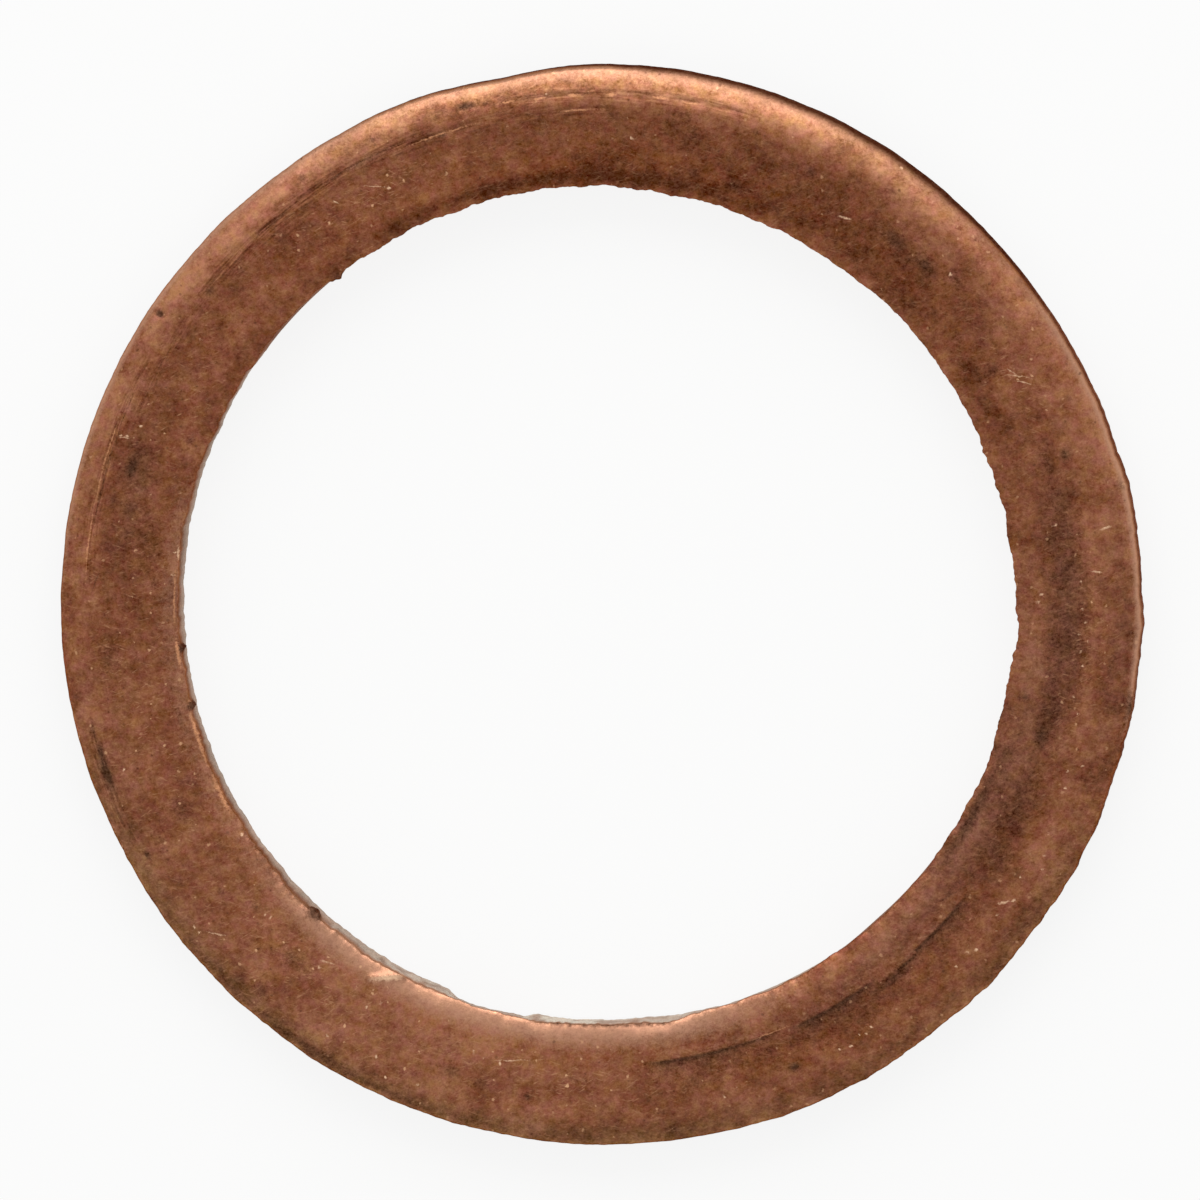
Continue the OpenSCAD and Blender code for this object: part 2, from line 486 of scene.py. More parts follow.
for angle, at_radius, along, across, strength in STAINS_AND_SHADE:
    stain_and_shade = np.maximum(stain_and_shade, strength * dab(angle, at_radius, along, across) * upper_side)
rim_line = np.exp(-((radius - bore_r - 0.02) / 0.05) ** 2) * ease(height, bore_high - 0.1, bore_high)
rim_waves = ragged(0.5, 60, 3)
rim_dirt = 0.30 * arc_window(45, 160, 15) * ease(rim_waves, -0.6, 0.3)
rim_dirt = rim_line * (rim_dirt + 0.45 * arc_window(76, 103, 7) * ease(rim_waves, -1.3, -0.2))
# Besides stains and dirt, this paint holds painted shade beside the lap's step.
dirt_and_shade = np.max([stain_and_shade, gouge_dirt, crumb_dirt, rim_dirt, 0.95 * lap_shade], axis=0)

# %% Broad tones and painted shading: angle, radius, length along the ring, width across it, lighter or darker
# Part of this is painted light and shade: the inner half is lighter at the bottom and darker at the top, and
# the outer band lighter at the top, as on a crowned face lit from the top. The rest is the skin's own uneven
# tone.
TONES_AND_SHADING = [
    (105, 10.75, 4.5, 0.60, 0.90), (135, 11.40, 3.5, 0.80, 0.45), (52, 10.50, 3.0, 0.28, 0.25),
    (228, 12.60, 5.5, 0.40, 0.80), (275, 12.50, 4.0, 0.35, 0.30), (312, 12.30, 4.0, 0.40, 0.30),
    (345, 12.20, 3.0, 0.45, 0.30), (26, 12.08, 3.0, 0.36, 0.35), (245, 10.75, 3.0, 0.30, 0.20),
    (300, 10.50, 6.0, 0.35, -0.70), (255, 10.25, 5.0, 0.16, -0.80), (335, 10.42, 2.5, 0.25, -0.45),
    (356, 11.20, 3.4, 0.45, -0.50), (18, 11.15, 2.2, 0.30, -0.50), (8, 10.90, 2.5, 0.30, -0.35),
    (290, 11.20, 3.5, 0.45, -0.45), (195, 11.50, 2.5, 0.60, -0.35), (232, 11.95, 4.5, 0.18, -0.15),
    (211, 11.00, 1.8, 0.42, 0.32), (262, 11.50, 3.0, 0.40, -0.20), (62, 11.65, 3.0, 0.30, -0.35),
    (55, 12.42, 1.6, 0.25, -0.30), (102, 12.25, 4.0, 0.40, 0.35), (118, 12.15, 2.5, 0.45, 0.30),
    (285, 12.05, 4.5, 0.25, 0.50), (252, 12.45, 3.5, 0.18, -0.30), (315, 11.05, 1.4, 0.38, -0.50),
    (325, 12.42, 1.0, 0.25, 0.50), (335, 11.05, 1.5, 0.35, 0.40), (345, 12.75, 3.0, 0.18, 0.75),
    (212, 12.75, 4.0, 0.16, 0.40), (264, 10.85, 2.2, 0.30, -0.35), (25, 10.42, 1.1, 0.22, -0.50),
    (54, 10.88, 1.2, 0.22, -0.25), (134, 12.55, 1.8, 0.28, -0.40), (58, 10.40, 2.5, 0.20, 0.25),
    (62, 11.36, 3.5, 0.20, -0.40), (15, 10.75, 1.2, 0.35, 0.30), (65, 11.85, 1.6, 0.35, 0.30),
    (175, 12.30, 1.6, 0.40, 0.30), (224, 11.45, 1.8, 0.40, -0.30), (274, 12.42, 1.6, 0.20, -0.35),
    (134, 12.75, 1.5, 0.20, -0.30),
    (275, 10.25, 3.5, 0.22, -0.80), (180, 12.60, 4.5, 0.30, 0.50), (340, 12.60, 3.0, 0.30, 0.50),
    (120, 12.82, 5.0, 0.12, -0.40), (5, 10.48, 3.5, 0.25, 0.30), (0, 11.78, 2.5, 0.12, 0.45),
    (60, 12.75, 9.0, 0.20, -0.30), (10, 12.75, 4.0, 0.20, -0.30), (115, 12.75, 5.0, 0.20, -0.25),
    (330, 11.75, 2.5, 0.35, 0.40), (29, 10.92, 1.6, 0.40, -0.45), (300, 10.90, 3.0, 0.30, -0.30),
    (40, 10.45, 2.4, 0.25, 0.20), (78, 10.45, 2.0, 0.22, -0.25), (181, 10.42, 0.9, 0.25, -0.22),
    (144, 10.42, 0.9, 0.22, 0.20), (347, 10.85, 2.0, 0.25, -0.20), (322, 11.05, 1.2, 0.45, -0.16),
    (24, 12.35, 1.0, 0.40, -0.18), (35, 12.20, 1.2, 0.40, 0.18), (214, 11.05, 1.2, 0.42, 0.22),
    (285, 12.42, 2.2, 0.18, 0.15), (155, 12.72, 1.0, 0.15, 0.22), (115, 12.72, 1.0, 0.15, 0.18),
    (95, 12.42, 1.0, 0.20, -0.18), (332, 12.70, 4.0, 0.16, 0.18), (355, 12.72, 1.2, 0.14, 0.15),
    (116, 11.60, 1.8, 0.40, 0.14), (65, 11.60, 1.2, 0.35, 0.15), (266, 12.42, 2.2, 0.18, -0.28),
    (242, 12.55, 1.2, 0.25, -0.18), (291, 12.72, 1.0, 0.14, -0.18), (20, 10.45, 1.0, 0.22, -0.20),
]
tone_and_shading = np.zeros(len(points))
for angle, at_radius, along, across, lighter in TONES_AND_SHADING:
    tone_and_shading += lighter * dab(angle, at_radius, along, across) * upper_side

# %% Broad hues: angle, radius, length along the ring, width across it, greyer or warmer
HUES = [
    (270, 10.50, 8.0, 0.70, -0.45), (262, 12.40, 5.0, 0.50, 0.20), (62, 11.80, 3.0, 0.40, -0.35),
    (30, 10.45, 3.5, 0.40, 0.70), (10, 10.85, 3.0, 0.50, 0.50), (5, 12.45, 3.0, 0.35, 0.40),
    (95, 10.50, 6.0, 0.60, -0.35), (52, 10.75, 3.5, 0.35, 0.45), (356, 11.20, 3.2, 0.35, 0.50),
    (310, 12.40, 3.0, 0.50, 0.25), (195, 11.60, 2.0, 0.40, 0.30), (150, 12.40, 4.0, 0.50, 0.20),
    (225, 12.60, 5.0, 0.40, 0.35),
]
hue_shift = np.zeros(len(points))
for angle, at_radius, along, across, greyer in HUES:
    hue_shift += greyer * dab(angle, at_radius, along, across) * upper_side

# %% Bright wear and painted highlights on the edges and lips, the pale film and painted reflection on the bore wall, and painted shade on the outer wall
outer_roll = ease(radius, flat_out + 0.55, outer_r - 0.10) * upper_side
outer_edge = np.exp(-((radius - outer_r + 0.04) / 0.10) ** 2) * ease(height, 0.95, 1.10)
bore_roll = (1 - ease(radius, bore_r + 0.1, bore_r + 0.85)) * upper_side
# This paint is rubbed metal and painted highlight. It is strongest where the edges face the light: on the top
# of the outer edge, at the right and upper left of the outer corner, on the lower part of the inner edge, and
# along the lap's lip.
outer_rub_and_highlight = 0.05 + 0.42 * arc_window(190, 372, 45) + 0.24 * arc_window(225, 312, 35)
outer_rub_and_highlight += 0.10 * arc_window(250, 306, 18)
edge_rub_and_highlight = 1.2 * arc_window(316, 378, 14) + 1.1 * arc_window(170, 265, 30)
bore_rub_and_highlight = 1.2 * arc_window(52, 155, 30) + 0.45 * arc_window(140, 205, 15)
rub_and_highlight = np.max([
    0.25 * lap_lip, outer_rub_and_highlight * outer_roll, edge_rub_and_highlight * outer_edge, bore_rub_and_highlight * bore_roll], axis=0)
# The thin skin turns olive along the lower part and the top of the outer edge.
lower_olive = arc_window(15, 175, 25) * (1 - 0.4 * arc_window(30, 80, 15))
olive = ease(radius, outer_r - 0.75, outer_r - 0.15) * upper_side * lower_olive
olive += 0.6 * ease(radius, outer_r - 0.85, outer_r - 0.40) * upper_side * arc_window(228, 318, 16)
hue_shift += 0.5 * olive
# Bright specks, where the skin is pricked through: angle, radius
SPECKS = [
    (43.5, 12.10), (21.5, 11.95), (59.0, 12.04), (60.5, 12.16), (76.0, 12.15),
    (102.5, 11.30), (104.5, 11.25), (106.0, 11.18), (111.0, 12.38), (116.5, 12.14), (119.0, 10.95),
    (161.0, 12.14), (184.0, 10.27), (187.0, 10.27), (213.5, 11.54), (243.0, 11.22), (273.7, 11.18),
    (316.5, 11.47), (350.0, 11.00), (304.4, 12.68), (122.5, 12.30), (359.6, 10.46), (358.6, 10.53),
    (136.7, 10.95), (137.4, 11.02), (42.6, 12.20),
    (140.9, 12.48), (141.7, 12.50), (127.9, 11.04), (120.3, 11.19), (114.6, 12.50), (147.5, 10.23),
]
DIM_SPECKS = [
    (199.4, 12.24), (199.6, 12.09), (201.2, 11.88), (11.0, 11.50), (3.5, 11.45), (4.3, 11.69),
    (357.2, 11.49), (2.0, 11.60), (5.5, 11.52), (0.5, 11.48),
    (7.2, 11.58), (9.0, 11.62), (12.8, 11.70), (57.4, 12.02), (58.3, 12.10), (61.8, 12.08), (27.0, 12.05),
    (74.2, 12.05), (29.5, 12.20), (33.0, 11.95), (18.5, 12.15), (19.6, 11.85), (23.5, 12.20), (25.5, 11.90),
    (31.0, 12.30), (38.0, 12.05), (39.5, 12.25), (45.5, 12.15), (263.8, 12.30),
    (268.5, 12.27), (273.0, 12.25),
]
SPECK_SIZE, DIM_SHARE = 0.045, 0.8
speck = np.max(
    [dab(angle, at_radius, SPECK_SIZE, SPECK_SIZE) for angle, at_radius in SPECKS]
    + [DIM_SHARE * dab(angle, at_radius, SPECK_SIZE, SPECK_SIZE) for angle, at_radius in DIM_SPECKS], axis=0)
# Flakes of pale film and painted reflection on the bore wall: start angle, end angle, strength
FLAKES = [(70, 88, 0.60), (83.5, 102.5, 0.80), (108.5, 123, 0.65), (118, 134, 0.50)]
flaky = np.max([share * arc_window(angle_a, angle_b, 2.5) for angle_a, angle_b, share in FLAKES], axis=0)
flaky *= ease(bore_high - height, 0.03, 0.40) * (0.5 + 0.5 * ease(cloud(0.6, 13, 3), -0.45, 0.05))
# Where the bore wall faces the camera, on the lower left, the pale colour is a film and a painted reflection
# of the white paper.
thin_film_and_reflection = (0.10 + 0.35 * arc_window(52, 218, 6)) * ease(bore_high - height, 0.10, 1.0)
bore_face = (1 - ease(radius, bore_r + 0.01, bore_r + 0.04)) * (height > bore_low / 2)
bore_film_and_reflection = bore_face * np.maximum(flaky, thin_film_and_reflection) * (1 - np.clip(crumb_dirt, 0, 1))
# Small scratches lie close together in a few places, and far apart elsewhere.
HAIR_ZONES = [
    (122, 11.4, 6.0, 1.2), (95, 11.4, 3.0, 0.8), (168, 11.4, 4.0, 1.0), (331, 11.4, 1.2, 0.5),
    (240, 11.3, 2.5, 0.5), (5, 11.7, 2.0, 0.5), (205, 11.2, 1.5, 0.6),
]
hair_zone = 0.35 + 0.65 * np.max([dab(*zone) for zone in HAIR_ZONES], axis=0)
# The outer wall is painted dark brown below its top, and higher up on the upper right: painted shade, where
# the wall faces away from the light and would mirror the white paper, over the wall's darker oxide.
wall_start = 0.95 + 0.42 * arc_window(264, 322, 12) + 0.25 * arc_window(312, 385, 12)
outer_wall_oxide_and_shade = ease(radius, outer_r - 0.25, outer_r - 0.05) * ease(wall_start - height, 0.0, 0.40)
outer_wall_oxide_and_shade *= 1 - 0.6 * arc_window(318, 392, 15)

PAINTS = {
    "dirt_and_shade": dirt_and_shade, "tone_and_shading": tone_and_shading, "hue_shift": hue_shift, "scored": scored, "rub_and_highlight": rub_and_highlight,
    "bore_film_and_reflection": bore_film_and_reflection, "outer_wall_oxide_and_shade": outer_wall_oxide_and_shade, "hair_zone": hair_zone, "speck": speck * upper_side,
    "olive": olive,
}
for name, values in PAINTS.items():
    attribute = ring_mesh.attributes.new(name, "FLOAT", "POINT")
    attribute.data.foreach_set("value", values.astype(np.float32))
    print(f"{name}: from {values.min():.2f} to {values.max():.2f}, mean {values.mean():.3f}")

# %% [markdown]
# ## The copper
# Annealed copper that has lain about turns brown as a thin oxide grows on it. The skin is patchy at every
# scale, from stains of millimetres to a fine grain, and where it is rubbed the pink metal shows. One noise
# with octaves of almost equal weight gives that even patchiness. The metal stays a metal all over, so its
# gloss comes from the lights, and painted highlights along the rubbed edges add to it.

# %% Helpers for colours and nodes
def srgb(code):
    """Turns an sRGB hex colour into the linear colour that a socket takes."""
    values = [int(code[i:i + 2], 16) / 255 for i in (1, 3, 5)]
    linear = [v / 12.92 if v <= 0.04045 else ((v + 0.055) / 1.055) ** 2.4 for v in values]
    return (*linear, 1)


def add_node(tree, kind, inputs=None, **settings):
    """Adds a node, applies its settings, and fills its inputs with values or with other nodes' outputs."""
    node = tree.nodes.new(kind)
    for name, value in settings.items():
        setattr(node, name, value)
    for socket, value in (inputs or {}).items():
        if isinstance(value, bpy.types.Node):
            value = value.outputs[0]
        if isinstance(value, bpy.types.NodeSocket):
            tree.links.new(value, node.inputs[socket])
        else:
            node.inputs[socket].default_value = value
    return node


def calc(operation, *values, **settings):
    """Adds a Math node to the tree in work."""
    return add_node(tree, "ShaderNodeMath", dict(enumerate(values)), operation=operation, **settings)


def remap(value, low, high, to_low=0.0, to_high=1.0):
    """Adds a Map Range node to the tree in work, which holds its result between the last two values."""
    return add_node(
        tree, "ShaderNodeMapRange",
        {"Value": value, "From Min": low, "From Max": high, "To Min": to_low, "To Max": to_high})


def noise_node(place, size, detail, roughness):
    """Adds a Noise Texture node to the tree in work, with patches of the given size."""
    return add_node(
        tree, "ShaderNodeTexNoise",
        {"Vector": place, "Scale": 1 / size, "Detail": detail, "Roughness": roughness})


# %% Copper: coordinates in millimetres
copper = bpy.data.materials.new("tarnished_annealed_copper")
copper.use_nodes = True
tree = copper.node_tree
tree.nodes.clear()
coordinates = add_node(tree, "ShaderNodeTexCoord")
in_mm = add_node(
    tree, "ShaderNodeMapping", {"Vector": coordinates.outputs["Object"], "Scale": (1 / MM,) * 3})
flat_mm = add_node(tree, "ShaderNodeVectorMath", {0: in_mm, 1: (1, 1, 0)}, operation="MULTIPLY")
ring_radius = add_node(tree, "ShaderNodeVectorMath", {0: flat_mm}, operation="LENGTH").outputs["Value"]

# %% [markdown]
# Scratches are finer than the mesh, so nodes draw them. The ring is unrolled into a strip first,
# with the length along the ring as X and the radius as Y. There each mark is a thin ellipse, and one Mapping
# node shrinks it to a unit ball: the length of the mapped vector is below 1 inside the mark. A faint mark is
# a ball that stands a little off the face, so that the face cuts only its rim.

# %% Copper: the ring unrolled
# The strip's seam lies at a clock angle that no mark crosses.
SEAM = 88
turned = add_node(
    tree, "ShaderNodeMapping", {"Vector": in_mm, "Rotation": (0, 0, math.radians(SEAM + 180))})
turned_parts = add_node(tree, "ShaderNodeSeparateXYZ", {0: turned})
down = calc("MULTIPLY", turned_parts.outputs[1], -1)
ring_angle = calc("ARCTAN2", down, turned_parts.outputs[0])
along_ring = calc("MULTIPLY", ring_angle, middle_r)
unrolled = add_node(
    tree, "ShaderNodeCombineXYZ", {0: along_ring, 1: ring_radius, 2: turned_parts.outputs[2]})
WOBBLE_SIZE, WOBBLE_REACH = 0.16, 0.10
wobble = noise_node(in_mm, WOBBLE_SIZE, 3, 0.7)
wobble_mid = add_node(
    tree, "ShaderNodeVectorMath", {0: wobble.outputs["Color"], 1: (0.5, 0.5, 0.5)}, operation="SUBTRACT")
strip = add_node(
    tree, "ShaderNodeVectorMath", {0: wobble_mid, 1: (WOBBLE_REACH,) * 3, 2: unrolled},
    operation="MULTIPLY_ADD")


def unroll(angle, at_radius):
    """A seen angle and radius as a point on the unrolled strip."""
    angle, at_radius = on_face(angle, at_radius)
    return Vector((math.radians((angle - SEAM) % 360 - 180) * middle_r, at_radius, top))


MARK_RIM, MARK_CORE = 1.2, 0.4


def nearest_mark(marks):
    """Socket with the distance to the nearest mark, as a share of that mark's own half size."""
    nearest = None
    for angle_a, radius_a, angle_b, radius_b, width, strength in marks:
        end_a, end_b = unroll(angle_a, radius_a), unroll(angle_b, radius_b)
        line = end_b - end_a
        off_face = (MARK_RIM + (MARK_CORE - MARK_RIM) * strength) * top / 2
        ball = add_node(
            tree, "ShaderNodeMapping",
            {"Vector": strip, "Location": (end_a + end_b) / 2 + Vector((0, 0, off_face)),
             "Rotation": (0, 0, math.atan2(line.y, line.x)),
             "Scale": (line.length / 2 + width / 2, width / 2, top / 2)},
            vector_type="TEXTURE")
        gap = add_node(tree, "ShaderNodeVectorMath", {0: ball}, operation="LENGTH").outputs["Value"]
        if nearest is not None:
            gap = calc("MINIMUM", nearest, gap).outputs[0]
        nearest = gap
    return nearest


# %% Bright marks: start angle and radius, end angle and radius, width, strength
SCRATCHES = [
    (118.0, 10.12, 121.6, 10.56, 0.16, 1.0), (138.6, 12.03, 140.6, 12.38, 0.05, 0.6),
    (126.9, 10.79, 128.2, 10.87, 0.06, 0.6), (36.0, 12.06, 36.9, 11.92, 0.065, 1.0),
    (35.4, 12.18, 35.8, 12.12, 0.06, 1.0), (199.2, 12.25, 199.5, 12.03, 0.05, 0.7),
    (236.4, 11.63, 236.8, 11.50, 0.05, 0.8), (301.5, 10.90, 302.7, 10.97, 0.06, 0.9),
    (351.2, 12.30, 351.4, 12.08, 0.06, 0.9), (356.0, 11.74, 356.2, 11.98, 0.05, 0.9),
    (330.3, 11.14, 332.2, 11.64, 0.04, 0.6), (331.4, 11.22, 333.0, 11.60, 0.04, 0.6),
    (329.6, 11.20, 330.9, 11.36, 0.04, 0.5),
    (240.0, 11.60, 243.3, 11.20, 0.03, 0.4), (186.2, 10.25, 187.6, 10.27, 0.08, 1.0),
    (98.6, 11.06, 103.6, 11.26, 0.04, 0.5),
]
bright_gap = nearest_mark(SCRATCHES)

# %% [markdown]
# Where an edge or the side of a score has been rubbed, the skin is thin, and a tan line shows. The lines on
# the bore's edge at the left, on the lips of the scores and on the lap's lip are painted highlights as well.

# %% Tan lines and painted highlights: start angle and radius, end angle and radius, width, strength
TAN_AND_HIGHLIGHT_LINES = [
    (182.5, 12.43, 191.0, 12.43, 0.05, 0.7), (192.0, 12.43, 203.0, 12.42, 0.05, 0.6),
    (246.0, 11.93, 256.0, 11.91, 0.05, 0.7), (66.0, 11.04, 71.0, 11.05, 0.04, 0.7),
    (151.0, 10.25, 156.0, 10.23, 0.12, 1.0), (157.5, 10.23, 166.0, 10.23, 0.10, 1.0),
    (171.5, 10.25, 175.5, 10.27, 0.09, 1.0), (176.5, 10.28, 185.5, 10.28, 0.06, 0.8),
    (262.5, 12.22, 263.6, 12.22, 0.07, 0.9), (266.2, 12.22, 267.4, 12.22, 0.08, 1.0),
    (270.6, 12.21, 271.6, 12.21, 0.08, 0.9), (275.8, 12.22, 277.6, 12.21, 0.07, 1.0),
    (279.0, 12.19, 281.0, 12.18, 0.06, 0.8), (258.5, 12.24, 260.5, 12.24, 0.06, 0.8),
    (264.0, 11.86, 271.0, 11.86, 0.05, 0.6),
]
tan_and_highlight_gap = nearest_mark(TAN_AND_HIGHLIGHT_LINES)

# %% Dark marks and painted shade: start angle and radius, end angle and radius, width, strength
DARK_LINES = [
    # The three along the lap are painted shade beside its step, and the four along the scores on the upper
    # left are painted shade in the grooves; the rest mark gouges and short dark lines.
    (38.0, 11.12, 54.0, 11.20, 0.05, 0.45), (51.5, 11.07, 67.0, 11.12, 0.05, 0.45),
    (65.0, 11.03, 85.0, 11.08, 0.05, 0.45), (184.0, 12.34, 208.0, 12.33, 0.06, 0.6),
    (199.0, 12.04, 218.0, 12.04, 0.06, 0.3), (217.0, 12.11, 236.0, 12.09, 0.07, 0.3),
    (234.0, 12.10, 250.0, 12.06, 0.09, 0.65), (158.8, 12.60, 163.2, 12.62, 0.22, 1.0),
    (161.0, 12.50, 164.0, 12.52, 0.06, 0.7), (150.6, 12.47, 151.8, 12.50, 0.09, 0.8),
    (213.1, 12.72, 213.4, 12.72, 0.09, 0.9), (37.0, 11.06, 42.0, 10.70, 0.05, 0.6),
    (181.0, 12.30, 184.5, 12.05, 0.05, 0.6), (254.0, 12.38, 256.0, 12.41, 0.08, 0.7),
]
dark_gap = nearest_mark(DARK_LINES)
print(f"marks: {len(SCRATCHES)} scratches, {len(TAN_AND_HIGHLIGHT_LINES)} tan lines, {len(DARK_LINES)} dark lines")

# %% [markdown]
# The skin's own pattern needs a few noises: broad patches that reach down to a fine grain, a change from
# pinkish to olive brown that is as fine, streaks that run with the ring where it is scored, and tiny nicks,
# which are the cells of a Voronoi pattern, of which chance picks a few to be bright and a few to be dark.
# Hair scratches run in a few directions: each is noise stretched far along one direction and cut off near
# its peaks.

# %% Copper: noises
PATCH_SIZE, HUE_SIZE, STREAK_ALONG, STREAK_ACROSS = 1.0, 0.28, 0.7, 0.055
BREAK_SIZE, GRAIN_SIZE, NICK_SPACING, NICK_WOBBLE = 0.11, 0.055, 0.36, 0.12
patches = noise_node(in_mm, PATCH_SIZE, 5, 0.90)
elsewhere = add_node(tree, "ShaderNodeVectorMath", {0: in_mm, 1: (31, 17, 5)}, operation="ADD")
hue = noise_node(elsewhere, HUE_SIZE, 3, 0.6)
around = add_node(tree, "ShaderNodeVectorMath", {0: flat_mm}, operation="NORMALIZE")
around_scaled = add_node(
    tree, "ShaderNodeVectorMath", {0: around, "Scale": middle_r / STREAK_ALONG}, operation="SCALE")
around_parts = add_node(tree, "ShaderNodeSeparateXYZ", {0: around_scaled})
across_scaled = calc("MULTIPLY", ring_radius, 1 / STREAK_ACROSS)
streak_place = add_node(
    tree, "ShaderNodeCombineXYZ",
    {0: around_parts.outputs[0], 1: around_parts.outputs[1], 2: across_scaled})
streaks = noise_node(streak_place, 1, 2, 0.6)
breaks = noise_node(in_mm, BREAK_SIZE, 3, 1.0)
grain = noise_node(in_mm, GRAIN_SIZE, 2, 0.6)
nick_place = add_node(
    tree, "ShaderNodeVectorMath", {0: wobble_mid, 1: (NICK_WOBBLE,) * 3, 2: in_mm}, operation="MULTIPLY_ADD")
nicks = add_node(
    tree, "ShaderNodeTexVoronoi", {"Vector": nick_place, "Scale": 1 / NICK_SPACING}, voronoi_dimensions="2D")
nick_chance = add_node(tree, "ShaderNodeSeparateColor", {0: nicks.outputs["Color"]})

# %% Copper: hair scratches
HAIR_LENGTH, HAIR_WIDTH = 0.24, 0.04
HAIR_DIRECTIONS = (12, 32, -18)
hairs = None
hair_sum = None
for direction in HAIR_DIRECTIONS:
    stretched = add_node(
        tree, "ShaderNodeMapping",
        {"Vector": in_mm, "Rotation": (0, 0, math.radians(direction)),
         "Scale": (HAIR_LENGTH, HAIR_WIDTH, 1.0)},
        vector_type="TEXTURE")
    hair_noise = noise_node(stretched, 1, 1, 0.5)
    hair = remap(hair_noise, 0.67, 0.78)
    hairs = hair if hairs is None else calc("MAXIMUM", hairs, hair)
    hair_sum = hair_noise if hair_sum is None else calc("ADD", hair_sum, hair_noise)

# %% Copper: masks of dirt, bright wear and painted light, broken up by noise
# Each mask is paint, or the distance to the nearest mark, plus broken noise. Of the two numbers in its
# remap, the first stands for clean copper and the second for a full mark.
paint = {
    name: add_node(tree, "ShaderNodeAttribute", attribute_name=name).outputs["Fac"] for name in PAINTS}
hair_mask = calc("MULTIPLY", hairs, paint["hair_zone"])
break_up = remap(breaks, 0.25, 0.75, -0.5, 0.5)
# The dirt paint holds real dirt and painted shade.
dirt_and_shade_sum = calc("MULTIPLY_ADD", break_up, -0.5, paint["dirt_and_shade"])
dirt_and_shade_mask = remap(dirt_and_shade_sum, 0.10, 0.85)
dark_edge = calc("MULTIPLY_ADD", break_up, 0.8, dark_gap)
dark_line_mask = remap(dark_edge, MARK_RIM, MARK_CORE)
dark_mask = calc("MAXIMUM", dirt_and_shade_mask, dark_line_mask)
rub_and_highlight_sum = calc("MULTIPLY_ADD", break_up, 0.5, paint["rub_and_highlight"])
rub_and_highlight_mask = remap(rub_and_highlight_sum, 0.2, 1.1)
bright_edge = calc("MULTIPLY_ADD", break_up, -0.9, bright_gap)
scratch_line_mask = remap(bright_edge, MARK_RIM, MARK_CORE)
tan_and_highlight_edge = calc("MULTIPLY_ADD", break_up, -0.9, tan_and_highlight_gap)
tan_and_highlight_mask = remap(tan_and_highlight_edge, MARK_RIM, MARK_CORE)
speck_sum = calc("MULTIPLY_ADD", break_up, 0.6, paint["speck"])
speck_mask = remap(speck_sum, 0.35, 0.75)
scratch_mask = calc("MAXIMUM", scratch_line_mask, speck_mask)

# %% Copper: nicks, from 0.02 to 0.07 mm wide, with a ragged outline
NICK_SMALL, NICK_LARGE = 0.010 / NICK_SPACING, 0.035 / NICK_SPACING
nick_size = calc("MULTIPLY_ADD", nick_chance.outputs[1], NICK_SMALL - NICK_LARGE, nicks.outputs["Distance"])
nick_gap = calc("MULTIPLY_ADD", break_up, -0.10, nick_size)
nick_mask = remap(nick_gap, NICK_SMALL * 2, 0)
is_bright = remap(nick_chance, 0.68, 0.88)
is_dark = remap(nick_chance, 0.34, 0.10)
bright_chance = calc("MULTIPLY", is_bright, paint["hair_zone"])
bright_nicks = calc("MULTIPLY", nick_mask, bright_chance)
dark_nicks = calc("MULTIPLY", nick_mask, is_dark)

# %% Copper: the colours in layers
STREAK_LEAST, STREAK_MOST, TONE_AND_SHADING_SHARE = 0.05, 0.90, 0.16
streak_share = calc("MULTIPLY_ADD", paint["scored"], STREAK_MOST, STREAK_LEAST)
streak_mid = calc("SUBTRACT", streaks, 0.5)
with_streaks = calc("MULTIPLY_ADD", streak_mid, streak_share, patches)
# The broad tones carry the skin's uneven tone and the painted shading of a crowned face.
skin_level = calc("MULTIPLY_ADD", paint["tone_and_shading"], TONE_AND_SHADING_SHARE, with_streaks)
RAMP_REACH = 0.215
skins = []
for codes in (("#5d3121", "#8c513d", "#b4735d"), ("#5c351e", "#8b5837", "#b47d54")):
    ramp = add_node(tree, "ShaderNodeValToRGB", {0: skin_level})
    ramp.color_ramp.elements.new(0.5)
    for element, code, step in zip(ramp.color_ramp.elements, codes, (-1, 0, 1)):
        element.position = 0.5 + step * RAMP_REACH
        element.color = srgb(code)
    skins.append(ramp)
hue_mask = remap(hue, 0.34, 0.66)
mixed_skin = add_node(tree, "ShaderNodeMix", {0: hue_mask, 6: skins[0], 7: skins[1]}, data_type="RGBA")
GREY_SHARE, GREY_NOISE, OLIVE_TURN = 0.08, 0.16, 0.012
hue_parts = add_node(tree, "ShaderNodeSeparateColor", {0: hue.outputs["Color"]})
uneven = calc("MULTIPLY_ADD", hue_parts.outputs[1], -GREY_NOISE, 1 + GREY_NOISE / 2)
strong = calc("MULTIPLY_ADD", paint["hue_shift"], -GREY_SHARE, uneven)
turned_hue = calc("MULTIPLY_ADD", paint["olive"], OLIVE_TURN, 0.5)
skin = add_node(
    tree, "ShaderNodeHueSaturation",
    {"Hue": turned_hue, "Saturation": strong, "Color": mixed_skin.outputs[2]})
film_and_reflection = calc("MULTIPLY_ADD", break_up, 0.9, 1.0)
film_and_reflection_mask = calc("MULTIPLY", film_and_reflection, paint["bore_film_and_reflection"], use_clamp=True)
